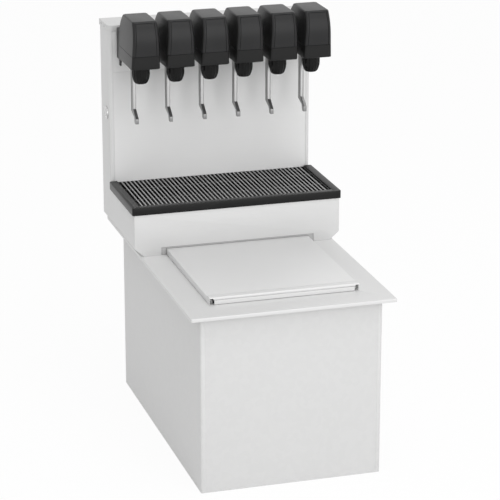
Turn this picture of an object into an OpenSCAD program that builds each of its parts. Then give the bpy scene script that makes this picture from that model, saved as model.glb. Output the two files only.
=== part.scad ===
// Drop-in soda dispenser. An insulated ice bin with a cold plate hangs through a counter by its deck.
// A console and a tower stand on the deck and carry the drip tray and a row of dispensing valves.
// Millimetres. +Z is up, the customer stands at -Y, and the origin lies on the floor of the cabinet,
// under the middle of the deck.

/* [Cabinet] */
// Width of the insulated cabinet under the deck
cabinet_w = 488; // [450:1:520]
// Depth of the cabinet, front to back
cabinet_d = 818; // [780:1:900]
// Height of the cabinet, from its floor to the underside of the deck
cabinet_h = 490; // [400:0.5:600]
// Sheet thickness of the cabinet shell
shell_t = 1.2; // [0.8:0.1:2]
// Thickness of the foam between shell and liner
foam_t = 40; // [34:1:46]
// Wall thickness of the bin liner
liner_t = 3; // [2:0.5:4]
// Thickness of the cold plate in the bottom of the bin
plate_h = 48; // [42:1:60]
// Gap round the cold plate, where melt water runs down
plate_gap = 5; // [4:0.5:6]

/* [Deck] */
// How far the deck reaches past the cabinet at the front
flange_front = 28; // [20:1:40]
// How far the deck reaches past the cabinet at each side
flange_side = 31; // [26:1:38]
// How far the deck reaches past the cabinet at the back
flange_rear = 64; // [60:1:76]
// Sheet thickness of the deck
deck_t = 1.5; // [1:0.1:2.5]
// Height of the turned-down edge of the deck
hem_h = 9; // [6:0.5:12]
// Corner radius of the deck
deck_r = 4; // [2:0.5:10]
// Width of the gasket under the flange
gasket_w = 22; // [12:1:22]
// How far the bin opening stays inside the liner at each side
opening_in = 9.8; // [6:0.1:16]
// Distance from the front edge of the deck to the bin opening
opening_inset = 104; // [90:1:130]
// How far the bin opening runs on under the console
opening_under = 8; // [0:1:20]

/* [Lid] */
// How far the lid reaches past the bin opening at each side
lid_over = 12; // [10:0.5:16]
// Height of the top of the lid above the deck
lid_rise = 17; // [13:0.5:20]
// Sheet thickness of the lid
lid_t = 1.5; // [1:0.1:2]
// How far the lid laps over the deck in front of the opening
lid_lap = 12; // [8:1:20]
// How far the lid laps past the back of the opening
lid_rear_lap = 18; // [10:1:24]
// Depth of the grip strip across the front of the lid
grip_d = 24; // [18:1:32]
// How far the grip strip stands out in front of the lid
grip_front = 4; // [2:0.5:8]
// Thickness of the top of the grip strip
grip_t = 3; // [2:0.5:6]
// Height of the raised lip at each side of the opening
lip_h = 8; // [4:0.5:9]
// Width of the runner strips that the lid slides on
runner_w = 7; // [5:0.5:7.5]

/* [Console] */
// Depth of the console in front of the tower
console_d = 268; // [240:1:290]
// Height of the console, from the deck to the underside of the drip tray's rim
console_h = 118; // [112:1:140]
// Sheet thickness of all console and tower panels
panel_t = 1.2; // [0.8:0.1:1.6]
// Height of the slanted foot of the console's sides
foot_h = 23; // [16:1:40]
// How far the foot stands in from the edge of the deck
foot_inset = 9.5; // [4:0.5:14]
// Width of the panels' folded edges
return_w = 12; // [8:1:14]
// Gap between the lid and each side of its slot in the console
slot_side = 15; // [4:1:20]
// Height of the lid's slot in the console
slot_h = 22.5; // [21:0.5:26]

/* [Tower] */
// Height of the tower above the deck
tower_h = 583; // [550:1:620]
// Depth of the tower
tower_d = 96; // [92:1:110]
// Distance from the back of the tower to the back edge of the deck
tower_rear = 30; // [20:1:32]
// Width that the tower adds at each side of the row of valves
tower_margin = 2.5; // [2:0.5:10]
// Radius of the tower's front corners
corner_r = 12; // [8:1:16]
// Distance from the top of the tower down to the seam under the valve panel
seam_drop = 133; // [120:1:150]
// Height of the skirt of the tower cap
cap_h = 17; // [12:0.5:18]
// How far the cap stands out from the panels
cap_over = 2; // [1.5:0.1:3]
// Radius of the heads of the cap screws
screw_r = 4; // [3:0.1:4.5]
// Height of the heads of the cap screws
screw_head = 1.8; // [1:0.1:2.5]
// Length of the cap screws inside the side panels
screw_l = 6; // [4:0.5:10]

/* [Key switch] */
// Radius of the key switch's bezel
bezel_r = 18; // [15:0.5:22]
// Radius of the turning barrel of the key switch
key_r = 9.9; // [7:0.1:11]
// How far the bezel stands out from the side panel
bezel_h = 3; // [2:0.5:5]
// Wall thickness of the sleeve behind the bezel
sleeve_t = 2.5; // [1.5:0.1:3]
// Length of the sleeve inside the tower
sleeve_l = 24; // [18:1:32]
// Width of the slot for the key
key_slot = 2; // [1.5:0.1:3]
// Height of the key switch below the top of the tower
key_drop = 253; // [220:1:300]
// Distance of the key switch behind the front of the tower
key_back = 34; // [34:1:50]

/* [Drip tray] */
// Height of the rim of the drip tray
rim_h = 21.5; // [16:0.5:28]
// How far the rim reaches past the sides of the console
tray_over = 5; // [3:0.5:12]
// How far the rim reaches past the front of the console
tray_front = 2; // [1:0.5:6]
// Wall thickness of the drip tray
tray_t = 2.5; // [2:0.1:3.5]
// Depth of the basin below the underside of the rim
basin_drop = 19; // [12:1:24]
// Width of the ledge that carries the cup rest
ledge_w = 7; // [5:0.5:10]
// Thickness of the cup rest
rest_t = 5; // [4:0.5:8]
// Depth of the cup rest's top below the top of the rim
rest_drop = 3; // [1:0.5:6]
// Distance from one slot of the cup rest to the next
slot_pitch = 11.6; // [9:0.05:16]
// Width of a slot of the cup rest
slot_w = 5.8; // [4:0.1:8]
// Outer radius of the tray's drain spigot
tray_drain_r = 9; // [7:0.5:10]
// Outer radius of the drain pipe under the deck
drain_pipe_r = 10; // [9.5:0.1:11]
// Length of the drain pipe below the deck
drain_pipe_h = 48; // [30:1:70]
// Distance from the back of the basin to the middle of its drain
drain_back = 25; // [22:1:40]
// Length of the tray's drain spigot
tray_spigot_h = 16; // [12:1:20]
// Distance from the underside of the basin down to the floor of the drain cup
cup_drop = 36; // [32:1:44]
// Height of the drain cup
cup_h = 28; // [24:1:30]

/* [Valves] */
// Number of valves
valve_count = 6; // [5:1:6]
// Distance from one valve to the next
valve_pitch = 96.2; // [93:0.1:100]
// Width of a valve at its bottom
valve_w = 79; // [72:1:84]
// Width of a valve at its top
valve_top_w = 67; // [60:1:71]
// Depth of a valve
valve_d = 163; // [156:1:172]
// Height of the lower body of a valve
body_h = 36; // [30:1:42]
// Height of the cover of a valve
cover_h = 93; // [86:1:110]
// Wall thickness of the cover
cover_t = 2.2; // [1.6:0.1:3]
// Height of the valves' undersides below the top of the tower
valve_drop = 76; // [72:1:90]
// Width of a mounting block
block_w = 54; // [52:1:66]
// Depth of a mounting block
block_d = 65; // [50:1:80]
// Height of a mounting block
block_h = 76; // [72:1:90]
// How far a mounting block reaches below the underside of its valve
block_drop = 6; // [4:0.5:8]
// How far the foot at the back of a mounting block reaches below the underside of its valve
block_foot = 15; // [12:1:22]
// Depth of the foot of a mounting block
block_foot_d = 40; // [34:1:42]
// Radius of a solenoid
solenoid_r = 13; // [10:0.5:14]

/* [Nozzles] */
// Radius of a nozzle at its collar
nozzle_r = 24.5; // [22:0.5:28]
// Radius of a nozzle at its mouth
mouth_r = 14.5; // [12:0.5:16]
// Height of a nozzle
nozzle_h = 50.4; // [44:0.2:56]
// Wall thickness of a nozzle
nozzle_t = 2.5; // [2:0.1:3]
// Distance from the front of a valve back to the middle of its nozzle
nozzle_in = 67; // [62:1:72]
// Radius of the stem of a diffuser
diffuser_r = 7; // [5:0.1:8]
// Radius of the discs of a diffuser
disc_r = 14; // [12:0.5:15]
// Length of the spigot that carries a nozzle
spigot_h = 12; // [10:1:14]

/* [Cup levers] */
// Width of a lever
lever_w = 9; // [7:0.5:12]
// Sheet thickness of a lever
lever_t = 1.2; // [0.8:0.1:1.6]
// Depth of a lever's folded sides
lever_d = 22; // [18:0.5:26]
// Height of a lever below its pivot
lever_h = 168; // [156:1:184]
// How far a lever's foot is bent forward
lever_kick = 29; // [15:1:40]
// Radius of the pivot pins
pin_r = 1.6; // [1.2:0.1:2.2]
// Distance from the back of the valve to the pivot
pivot_in = 10; // [9:0.5:12]
// Distance from the underside of the valve to the pivot
pivot_drop = 10; // [9:0.5:12]

/* [Electrics] */
// Height of a solenoid
solenoid_h = 38; // [30:1:40]
// Distance of the solenoids behind the middle of the nozzle
solenoid_back = 22; // [18:1:26]
// Width of the transformer
transformer_w = 84; // [70:1:90]
// Height of the transformer
transformer_h = 70; // [60:1:80]
// Depth of the transformer
transformer_d = 44; // [36:1:46]

/* [Lines] */
// Outer radius of the syrup and soda tubes
tube_r = 4.76; // [4:0.01:6]
// Inner radius of the syrup and soda tubes
tube_bore_r = 3.5; // [2.5:0.01:3.9]
// Outer radius of the soda manifold's header
header_r = 8; // [6.5:0.1:9]
// Outer radius of the bin's drain spigot
bin_drain_r = 13.35; // [10:0.05:15]
// Free length of the spigots behind the cabinet
spigot_l = 26; // [20:1:32]
// Distance between the syrup and the soda port of a valve
port_gap = 24; // [20:1:30]
// Height of the ports above the underside of a valve
port_h = 25; // [22:1:28]
// Distance from the sides of the cold plate in to the outermost lines
line_margin = 35; // [30:1:60]
// Height of the inlets above the floor of the bin
inlet_rise = 14; // [10:1:18]
// Height of the outlets below the top of the cold plate
outlet_drop = 12; // [9:1:16]
// Height above the deck at which the tubes start to spread
fan_rise = 30; // [20:1:60]
// Height over which the tubes spread
fan_h = 100; // [80:1:160]
// Distance from the tubes back to the manifold's header
header_back = 24; // [20:1:26]
// Free height between the drain spigot and the floor of the bin
drain_rise = 4; // [4:0.5:8]

/* [Clearances] */
// Gap under pieces that lift off
seat_gap = 0.2; // [0.1:0.1:0.3]
// Gap between pieces that slide
slide_gap = 0.3; // [0.2:0.1:0.5]
// Gap round shafts and collars that turn
run_gap = 0.08; // [0.05:0.01:0.1]
// Gap along seams between fixed panels
seam_gap = 0.3; // [0.2:0.1:0.5]

/* [Hidden] */
$fn = 64;
hull_fn = 24;
cut = 1;

// Deck and cabinet
deck_w = cabinet_w + 2 * flange_side;
deck_d = flange_front + cabinet_d + flange_rear;
deck_z = cabinet_h + deck_t;
deck_y0 = -deck_d / 2;
deck_y1 = deck_d / 2;
cabinet_y0 = deck_y0 + flange_front;
cabinet_y1 = cabinet_y0 + cabinet_d;
shell_in_x = cabinet_w / 2 - shell_t;
liner_x = shell_in_x - foam_t;
liner_y0 = cabinet_y0 + shell_t + foam_t;
liner_y1 = cabinet_y1 - shell_t - foam_t;
liner_z = shell_t + foam_t;
bin_x = liner_x - liner_t;
bin_y0 = liner_y0 + liner_t;
bin_y1 = liner_y1 - liner_t;
bin_z = liner_z + liner_t;
plate_x = bin_x - plate_gap;
plate_y0 = bin_y0 + plate_gap;
plate_y1 = bin_y1 - plate_gap;
plate_top = bin_z + plate_h;

// Tower and console
tower_w = valve_count * valve_pitch + 2 * tower_margin;
side_x = tower_w / 2;
tower_y1 = deck_y1 - tower_rear;
tower_y0 = tower_y1 - tower_d;
tower_top = deck_z + tower_h;
panel_x = side_x - corner_r - seam_gap;
panel_top = tower_top - panel_t;
seam_z = tower_top - seam_drop;
console_y = tower_y0 - console_d;
console_top = deck_z + console_h;
foot_x = deck_w / 2 - foot_inset;
foot_run = side_x - foot_x;
foot_sheet = panel_t * sqrt(1 + pow(foot_run / foot_h, 2));
screw_ys = [tower_y0 + 36, tower_y1 - 24];
screw_z = tower_top - cap_h / 2;

// Lid
opening_x = bin_x - opening_in;
opening_y0 = deck_y0 + opening_inset;
opening_y1 = console_y + opening_under;
lid_x = opening_x + lid_over;
lid_y0 = opening_y0 - lid_lap;
lid_y1 = opening_y1 + lid_rear_lap;
lid_top = deck_z + lid_rise;
lid_under = lid_top - lid_t;
lid_foot = deck_z + 1;
lip_x = opening_x + deck_t;
runner_y0 = opening_y0 + 6;

// Drip tray
tray_x = side_x + tray_over;
tray_y0 = console_y - tray_front;
tray_y1 = tower_y0 - seam_gap;
tray_z = console_top + seat_gap;
tray_top = console_top + rim_h;
tray_fit = 2;
basin_x = side_x - return_w - tray_fit;
basin_y0 = console_y + return_w + tray_fit;
basin_y1 = tower_y0 - return_w - tray_fit;
basin_z = console_top - basin_drop;
rib_out = tray_fit + 4;
ledge_t = 3;
ledge_z = tray_top - rest_drop - rest_t - seat_gap;
rest_x = basin_x - tray_t - slide_gap;
rest_y0 = basin_y0 + tray_t + slide_gap;
rest_y1 = basin_y1 - tray_t - slide_gap;
rest_frame = 3.5;
slot_count = 1 + floor((2 * (rest_x - rest_frame) - slot_w) / slot_pitch);

// Lines
tube_y = cabinet_y1 - shell_t - foam_t / 2;
tube_pitch = 2 * (plate_x - line_margin) / (valve_count - 1);
inlet_z = bin_z + inlet_rise;
outlet_z = plate_top - outlet_drop;
header_y = tube_y + header_back;
stub_y0 = cabinet_y1 + 1;
stub_y1 = cabinet_y1 + spigot_l;
stub_step = 0.5;
bin_drain_z = bin_z + bin_drain_r + drain_rise;
riser_x = -port_gap / 2;
drain_x = riser_x + tube_pitch;
tray_drain_x = riser_x - tube_pitch;
fan_z = deck_z + fan_rise;
bend_reach = 12;
bend_steps = 3;
tube_sides = 10;
drain_y = basin_y1 - drain_back;
drain_wall = 2;
cup_z = basin_z - cup_drop;
cross_r = drain_pipe_r - 2;
drain_pipe_z = cup_z + 1.5 * cross_r;
drain_pipe_y = cabinet_y1 + 2 * drain_pipe_r;
drain_neck_h = 10;
collar_h = 3;

// Valves, each in its own frame: X from its middle, Y from the tower's front, Z from its underside
valve_z = tower_top - valve_drop;
port_z = valve_z + port_h;
valve_y1 = -block_d;
valve_y0 = valve_y1 - valve_d;
valve_h = body_h + cover_h;
nozzle_y = valve_y0 + nozzle_in;
spigot_r = nozzle_r - nozzle_t - 1.2;
pivot_y = valve_y1 - pivot_in;
pivot_z = -pivot_drop;
ear_t = 3;
floor_t = 8;
manifold_h = 51;
socket_d = 8;
// Each row of the cover: share of its height, then how far its front and its back stand in; and the
// radius of its corners
cover_rows = [[0, 3, 0], [0.45, 0, 0], [0.75, 5, 12], [1, 16, 36]];
cover_r = 9;
// How far the front of the body stands in at its bottom, and the thickness of its front wall
body_in = 6;
body_wall = 5;
// Width and height of the tab at the back of a body, which bears on its mounting block
tab_x = block_w / 2 - 2;
tab_z = block_h - 2 * block_drop;

// Pieces that the valves repeat
VALVE_PIECES = ["valve_block", "valve_body", "valve_cover", "nozzle", "lever"];

// Middle of a valve, counted from 1 at the left
function valve_x(i) = (i - (valve_count + 1) / 2) * valve_pitch;
// Place of a valve's lines where they leave the cold plate
function line_x(i) = riser_x + (i - (valve_count + 1) / 2) * tube_pitch;
// Half the width of a valve at a height above its underside
function valve_half(z) = valve_w / 2 - (valve_w - valve_top_w) / 2 * z / valve_h;
// A vector drawn to a length of 1
function unit(v) = v / norm(v);
// A range that is the same to both sides
function both(half) = [-half, half];
// A path whose two ends are drawn out by a length
function longer(path, extra) = let (n = len(path) - 1,
    first = path[0] - path[1], last = path[n] - path[n - 1])
    [for (k = [0 : n]) k == 0 ? path[0] + extra * first / norm(first)
        : k == n ? path[n] + extra * last / norm(last) : path[k]];

// A box between two limits on each axis
module span(x, y, z) {
    translate([x[0], y[0], z[0]]) cube([x[1] - x[0], y[1] - y[0], z[1] - z[0]]);
}

// A flat plate with rounded corners
module rounded_plate(x, y, z, r) {
    translate([0, 0, z[0]]) linear_extrude(height = z[1] - z[0]) union() {
        translate([x[0] + r, y[0]]) square([x[1] - x[0] - 2 * r, y[1] - y[0]]);
        translate([x[0], y[0] + r]) square([x[1] - x[0], y[1] - y[0] - 2 * r]);
        for (cx = [x[0] + r, x[1] - r]) for (cy = [y[0] + r, y[1] - r])
            translate([cx, cy]) circle(r);
    }
}

// A plate whose front corners alone are rounded
module front_rounded_plate(half, y, z, r) {
    translate([0, 0, z[0]]) linear_extrude(height = z[1] - z[0]) union() {
        translate([-half, y[0] + r]) square([2 * half, y[1] - y[0] - r]);
        translate([-half + r, y[0]]) square([2 * (half - r), y[1] - y[0]]);
        for (side = [-1, 1]) translate([side * (half - r), y[0] + r]) circle(r);
    }
}

// A sheet cut to an outline in X and Z, with its front face at y0
module upright_sheet(y0, thick) {
    translate([0, y0 + thick, 0]) rotate([90, 0, 0]) linear_extrude(height = thick) children();
}

// A solid whose outline is given in Y and Z, centred on X
module side_profile(width) {
    translate([-width / 2, 0, 0]) rotate([90, 0, 90]) linear_extrude(height = width) children();
}

// A round bar from one point to another
module bar(p, q, r) {
    v = q - p;
    translate(p) rotate([0, acos(v[2] / norm(v)), atan2(v[1], v[0])]) cylinder(r = r, h = norm(v));
}

// A round bar along a path, with a ball at each bend
module bent_bar(path, r, bend_r) {
    for (k = [0 : len(path) - 2]) bar(path[k], path[k + 1], r);
    for (k = [1 : len(path) - 2]) translate(path[k]) sphere(bend_r);
}

// A path whose bends are rounded, starting at a distance before each corner
function rounded_path(path, reach) = let (n = len(path) - 1) concat([path[0]],
    [for (k = [1 : n - 1]) let (a = path[k] + reach * unit(path[k - 1] - path[k]),
        b = path[k] + reach * unit(path[k + 1] - path[k]))
        for (step = [0 : bend_steps]) let (t = step / bend_steps)
            pow(1 - t, 2) * a + 2 * t * (1 - t) * path[k] + t * t * b],
    [path[n]]);

// The direction of a path at one of its points
function heading(path, k) = let (n = len(path) - 1)
    unit((k < n ? unit(path[k + 1] - path[k]) : [0, 0, 0])
        + (k > 0 ? unit(path[k] - path[k - 1]) : [0, 0, 0]));

// A ring of points round one point of a path
function ring(path, k, r) =
    let (u = unit(cross(heading(path, k), [1, 0, 0])), v = cross(heading(path, k), u))
    [for (j = [0 : tube_sides - 1]) let (a = 360 * j / tube_sides) path[k] + r * (cos(a) * u + sin(a) * v)];

// A tube along a path that never runs along X
module bent_tube(path, r, bore) {
    n = len(path);
    s = tube_sides;
    in = n * s;
    points = [for (skin = [r, bore]) for (k = [0 : n - 1]) each ring(path, k, skin)];
    faces = [for (j = [0 : s - 1]) let (i = (j + 1) % s) each concat(
        [for (k = [0 : n - 2]) [(k + 1) * s + j, (k + 1) * s + i, k * s + i, k * s + j]],
        [for (k = [0 : n - 2]) [in + k * s + j, in + k * s + i, in + (k + 1) * s + i, in + (k + 1) * s + j]],
        [[j, i, in + i, in + j]],
        [[in + in - s + j, in + in - s + i, in - s + i, in - s + j]])];
    polyhedron(points, faces);
}

// A cylinder along +Y
module rod_y(x, y, z, r) {
    translate([x, y[0], z]) rotate([-90, 0, 0]) cylinder(r = r, h = y[1] - y[0]);
}

// A cylinder along +X
module rod_x(x, y, z, r) {
    translate([x[0], y, z]) rotate([0, 90, 0]) cylinder(r = r, h = x[1] - x[0]);
}

module at_valve(i) {
    translate([valve_x(i), tower_y0, valve_z]) children();
}

// The way of a syrup tube from the cold plate up to its valve
function syrup_path(i) = let (high_x = valve_x(i) - port_gap / 2)
    [[line_x(i), plate_y1, outlet_z], [line_x(i), tube_y, outlet_z], [line_x(i), tube_y, fan_z],
     [high_x, tube_y, fan_z + fan_h], [high_x, tube_y, port_z], [high_x, tower_y0 - socket_d, port_z]];

// The way of the soda water from the cold plate up to the manifold's header
riser_path = [[riser_x, plate_y1, outlet_z], [riser_x, tube_y, outlet_z], [riser_x, tube_y, fan_z],
    [riser_x, header_y, fan_z + fan_h / 2], [riser_x, header_y, port_z]];

// Holes for everything that passes the cabinet's back wall
module back_wall_holes(gap) {
    y = [plate_y1, cabinet_y1 + cut];
    for (i = [1 : valve_count]) rod_y(line_x(i), y, inlet_z, tube_r + stub_step + gap);
    rod_y(riser_x, y, inlet_z, tube_r + stub_step + gap);
    rod_y(drain_x, y, bin_drain_z, bin_drain_r + stub_step + gap);
}

// Holes for the lines that leave the top of the cold plate
module outlet_holes(gap) {
    y = [plate_y1, tube_y];
    for (i = [1 : valve_count]) rod_y(line_x(i), y, outlet_z, tube_r + 0.4 + gap);
    rod_y(riser_x, y, outlet_z, tube_r + 0.4 + gap);
}

module cabinet_shell() {
    color("gainsboro") difference() {
        span(both(cabinet_w / 2), [cabinet_y0, cabinet_y1], [0, cabinet_h]);
        span(both(shell_in_x), [cabinet_y0 + shell_t, cabinet_y1 - shell_t], [shell_t, cabinet_h + cut]);
        back_wall_holes(seam_gap);
    }
}

module cabinet_foam() {
    bore = tube_r + 0.7 + seam_gap;
    color("khaki") difference() {
        span(both(shell_in_x), [cabinet_y0 + shell_t, cabinet_y1 - shell_t], [shell_t, cabinet_h]);
        span(both(liner_x), [liner_y0, liner_y1], [liner_z, cabinet_h + cut]);
        back_wall_holes(seam_gap);
        outlet_holes(seam_gap);
        for (x = concat([riser_x], [for (i = [1 : valve_count]) line_x(i)])) {
            translate([x, tube_y, outlet_z - bore])
                cylinder(r = bore, h = cabinet_h - outlet_z + bore + cut);
            span([x - bore, x + bore], [tube_y - bend_reach, tube_y], [outlet_z, outlet_z + bend_reach]);
        }
    }
}

module bin_liner() {
    color("white") difference() {
        span(both(liner_x), [liner_y0, liner_y1], [liner_z, cabinet_h]);
        span(both(bin_x), [bin_y0, bin_y1], [bin_z, cabinet_h + cut]);
        back_wall_holes(seam_gap);
        outlet_holes(seam_gap);
    }
}

module cold_plate() {
    color("darkgray") span(both(plate_x), [plate_y0, plate_y1], [bin_z, plate_top]);
}

module bin_drain() {
    color("dimgray") difference() {
        union() {
            rod_y(drain_x, [stub_y0, stub_y1], bin_drain_z, bin_drain_r);
            rod_y(drain_x, [bin_y1, stub_y0], bin_drain_z, bin_drain_r + stub_step);
            rod_y(drain_x, [bin_y1 - drain_wall, bin_y1], bin_drain_z, bin_drain_r + 3);
        }
        rod_y(drain_x, [bin_y1 - drain_wall - cut, stub_y1 + cut], bin_drain_z, bin_drain_r - 2.8);
    }
}

module inlet_stub(x) {
    difference() {
        union() {
            rod_y(x, [plate_y1, stub_y0], inlet_z, tube_r + stub_step);
            rod_y(x, [stub_y0, stub_y1], inlet_z, tube_r);
        }
        rod_y(x, [plate_y1 - cut, stub_y1 + cut], inlet_z, tube_bore_r);
    }
}

module inlet_stubs() {
    color("lightsteelblue") {
        for (i = [1 : valve_count]) inlet_stub(line_x(i));
        inlet_stub(riser_x);
    }
}

module syrup_tubes() {
    color("lightsteelblue") for (i = [1 : valve_count])
        bent_tube(rounded_path(syrup_path(i), bend_reach), tube_r, tube_bore_r);
}

module soda_manifold() {
    first_x = valve_x(1) + port_gap / 2;
    last_x = valve_x(valve_count) + port_gap / 2;
    end = header_r + 2;
    color("silver") difference() {
        union() {
            bent_bar(riser_path, tube_r, tube_r + 0.4);
            rod_x([first_x - end, last_x + end], header_y, port_z, header_r);
            for (i = [1 : valve_count])
                rod_y(valve_x(i) + port_gap / 2, [tower_y0 - socket_d, header_y], port_z, tube_r);
        }
        bent_bar(longer(riser_path, cut), tube_bore_r, tube_bore_r + 0.2);
        rod_x([first_x - end + 2, last_x + end - 2], header_y, port_z, header_r - 1.6);
        for (i = [1 : valve_count])
            rod_y(valve_x(i) + port_gap / 2, [tower_y0 - socket_d - cut, header_y], port_z, tube_bore_r);
    }
}

module deck() {
    color("lightgray") difference() {
        union() {
            rounded_plate(both(deck_w / 2), [deck_y0, deck_y1], [deck_z - hem_h, deck_z], deck_r);
            for (x = [[opening_x, lip_x], [-lip_x, -opening_x]])
                span(x, [opening_y0, opening_y1], [deck_z - deck_t, deck_z + lip_h]);
        }
        rounded_plate(both(deck_w / 2 - deck_t), [deck_y0 + deck_t, deck_y1 - deck_t],
            [deck_z - hem_h - cut, deck_z - deck_t], deck_r - deck_t);
        span(both(opening_x), [opening_y0, opening_y1], [deck_z - deck_t - cut, deck_z + cut]);
        span([line_x(1) - tube_r - 5, line_x(valve_count) + tube_r + 5], [tube_y - 12, tube_y + 12],
            [deck_z - deck_t - cut, deck_z + cut]);
        translate([tray_drain_x, drain_pipe_y, deck_z - deck_t - cut])
            cylinder(r = drain_pipe_r + seam_gap, h = deck_t + 2 * cut);
    }
}

module deck_gasket() {
    out_x = deck_w / 2 - deck_t - 1;
    y0 = deck_y0 + deck_t + 1;
    y1 = deck_y1 - deck_t - 1;
    z = [deck_z - hem_h, deck_z - deck_t];
    color("black") difference() {
        span(both(out_x), [y0, y1], z);
        span(both(out_x - gasket_w), [y0 + gasket_w, y1 - gasket_w], [z[0] - cut, z[1] + cut]);
    }
}

module lid_runners() {
    x0 = lip_x + 1;
    color("white") for (x = [[x0, x0 + runner_w], [-x0 - runner_w, -x0]])
        span(x, [runner_y0, tower_y0], [deck_z, lid_under - slide_gap]);
}

module lid() {
    color("lightgray") difference() {
        span(both(lid_x), [lid_y0, lid_y1], [lid_foot, lid_top]);
        span(both(lid_x - lid_t), [lid_y0 - cut, lid_y1 + cut], [lid_foot - cut, lid_under]);
    }
}

module lid_grip() {
    y0 = lid_y0 - grip_front;
    wall_x = opening_x - 1;
    color("silver") {
        span(both(lid_x), [y0, y0 + grip_d], [lid_top, lid_top + grip_t]);
        span(both(wall_x), [y0, y0 + lid_t], [lid_foot, lid_top]);
    }
}

// The right-hand side of console and tower, bent from one sheet
module side_sheet() {
    fold_x = side_x - corner_r;
    upright_sheet(console_y + panel_t, tower_y1 - console_y - panel_t) polygon([
        [foot_x, deck_z], [side_x, deck_z + foot_h], [side_x, console_top],
        [side_x - panel_t, console_top], [side_x - panel_t, deck_z + foot_h],
        [foot_x - foot_sheet + foot_run * panel_t / foot_h, deck_z + panel_t],
        [foot_x - return_w, deck_z + panel_t], [foot_x - return_w, deck_z]]);
    span([side_x - return_w, side_x], [console_y + panel_t, tower_y0], [console_top - panel_t, console_top]);
    span([side_x - panel_t, side_x], [tower_y0 + corner_r, tower_y1],
        [console_top - panel_t, console_top + panel_t]);
    translate([0, 0, console_top]) linear_extrude(height = panel_top - console_top) union() {
        translate([side_x - panel_t, tower_y0 + corner_r])
            square([panel_t, tower_y1 - tower_y0 - corner_r]);
        translate([fold_x, tower_y0 + corner_r]) intersection() {
            difference() {
                circle(corner_r);
                circle(corner_r - panel_t);
            }
            translate([0, -corner_r]) square(corner_r);
        }
        translate([fold_x, tower_y0 + panel_t / 2]) square([panel_t, 1.5 * panel_t]);
        translate([fold_x - return_w, tower_y0 + panel_t]) square([return_w + panel_t, panel_t]);
        translate([side_x - return_w, tower_y1 - 2 * panel_t]) square([return_w, panel_t]);
    }
}

module cap_screw_holes() {
    for (y = screw_ys) rod_x(both(side_x + cap_over + cut), y, screw_z, screw_r / 2 + seam_gap);
}

module side_panel_left() {
    color("darkgray") difference() {
        mirror([1, 0, 0]) side_sheet();
        cap_screw_holes();
        rod_x([-side_x - cut, -side_x + 2 * panel_t], tower_y0 + key_back, tower_top - key_drop,
            key_r + sleeve_t + seam_gap);
    }
}

module side_panel_right() {
    color("darkgray") difference() {
        side_sheet();
        cap_screw_holes();
    }
}

module console_front() {
    slot_x = lid_x + slot_side;
    color("lightgray") {
        upright_sheet(console_y, panel_t) difference() {
            polygon([[-foot_x, deck_z], [-side_x, deck_z + foot_h], [-side_x, console_top],
                [side_x, console_top], [side_x, deck_z + foot_h], [foot_x, deck_z]]);
            translate([-slot_x, deck_z - cut]) square([2 * slot_x, slot_h + cut]);
        }
        span(both(side_x - return_w - seam_gap), [console_y, console_y + return_w],
            [console_top - panel_t, console_top]);
        for (x = [[side_x - 2 * panel_t, side_x - panel_t], [panel_t - side_x, 2 * panel_t - side_x]])
            span(x, [console_y, console_y + return_w], [deck_z + foot_h + 2, console_top - 2 * panel_t]);
    }
}

module back_panel() {
    x = side_x - panel_t - seam_gap;
    low_x = foot_x - foot_sheet - seam_gap;
    floor_z = deck_z + panel_t + seam_gap;
    color("darkgray") upright_sheet(tower_y1 - panel_t, panel_t) polygon([
        [-low_x + return_w, deck_z], [-low_x + return_w, floor_z], [-low_x, floor_z],
        [-x, deck_z + foot_h], [-x, panel_top], [x, panel_top], [x, deck_z + foot_h],
        [low_x, floor_z], [low_x - return_w, floor_z], [low_x - return_w, deck_z]]);
}

module splash_panel() {
    color("lightgray") {
        span(both(panel_x), [tower_y0, tower_y0 + panel_t], [console_top - panel_t, seam_z]);
        span(both(panel_x), [tower_y0 - return_w, tower_y0 + panel_t / 2],
            [console_top - panel_t, console_top]);
    }
}

module valve_panel() {
    color("lightgray") difference() {
        span(both(panel_x), [tower_y0, tower_y0 + panel_t], [seam_z + seam_gap, panel_top]);
        for (i = [1 : valve_count]) for (side = [-1, 1])
            rod_y(valve_x(i) + side * port_gap / 2, [tower_y0 - cut, tower_y0 + panel_t + cut],
                port_z, tube_r + 1);
    }
}

module tower_cap() {
    half = side_x + cap_over;
    y = [tower_y0 - cap_over, tower_y1 + cap_over];
    color("lightgray") difference() {
        front_rounded_plate(half, y, [tower_top - cap_h, tower_top], corner_r + cap_over);
        front_rounded_plate(half - panel_t, [y[0] + panel_t, y[1] - panel_t],
            [tower_top - cap_h - cut, panel_top], corner_r + cap_over - panel_t);
        cap_screw_holes();
    }
}

module cap_screws() {
    face = side_x + cap_over;
    color("silver") for (side = [0, 1]) mirror([side, 0, 0]) for (y = screw_ys) {
        rod_x([face, face + screw_head], y, screw_z, screw_r);
        rod_x([side_x - screw_l, face + screw_head / 2], y, screw_z, screw_r / 2);
    }
}

module key_bezel() {
    y = tower_y0 + key_back;
    z = tower_top - key_drop;
    color("silver") difference() {
        union() {
            rod_x([-side_x - bezel_h, -side_x], y, z, bezel_r);
            rod_x([-side_x - bezel_h / 2, -side_x + sleeve_l], y, z, key_r + sleeve_t);
        }
        rod_x([-side_x - bezel_h - cut, -side_x + sleeve_l + cut], y, z, key_r + run_gap);
    }
}

module key_barrel() {
    y = tower_y0 + key_back;
    z = tower_top - key_drop;
    color("dimgray") difference() {
        rod_x([-side_x - 1.3 * bezel_h, -side_x + sleeve_l + bezel_h], y, z, key_r);
        span([-side_x - 2 * bezel_h, -side_x + 2 * bezel_h], [y - key_slot / 2, y + key_slot / 2],
            [z - 0.4 * key_r, z + 0.4 * key_r]);
    }
}

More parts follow.
